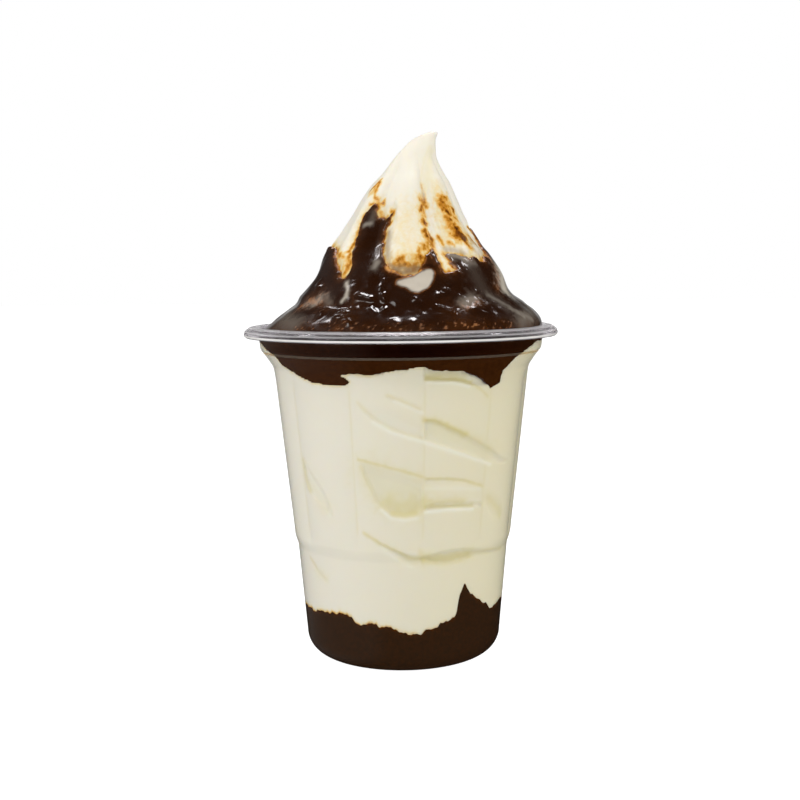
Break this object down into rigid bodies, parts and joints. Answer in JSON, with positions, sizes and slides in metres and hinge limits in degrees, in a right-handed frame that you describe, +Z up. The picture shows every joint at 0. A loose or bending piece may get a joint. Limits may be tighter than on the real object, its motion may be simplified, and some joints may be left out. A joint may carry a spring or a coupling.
{
  "type": "sundae cup",
  "caption": "Soft-serve ice cream in a clear panelled plastic cup, with chocolate sauce at the bottom and over the mound, rising to a leaning white peak.",
  "frame": {"origin": "centre of the cup's flat base, on the surface it stands on", "axes": "+Z up along the cup's axis, -Y towards the front that the picture shows, +X towards the side that the peak leans to"},
  "size_m": [0.098, 0.0979, 0.1632],
  "materials": {
    "clear_plastic": "clear, thin and glossy",
    "soft_serve": "ivory soft-serve ice cream, smooth with a soft sheen",
    "sauce": "dark chocolate sauce, wet and glossy, amber where it is thin",
    "syrup": "dark brown chocolate syrup seen through the cup, satin"
  },
  "bodies": {
    "root": {"cup": "clear_plastic", "ice_cream": "soft_serve", "sauce_bottom": "syrup", "sauce_top": "sauce"}
  },
  "joints": []
}
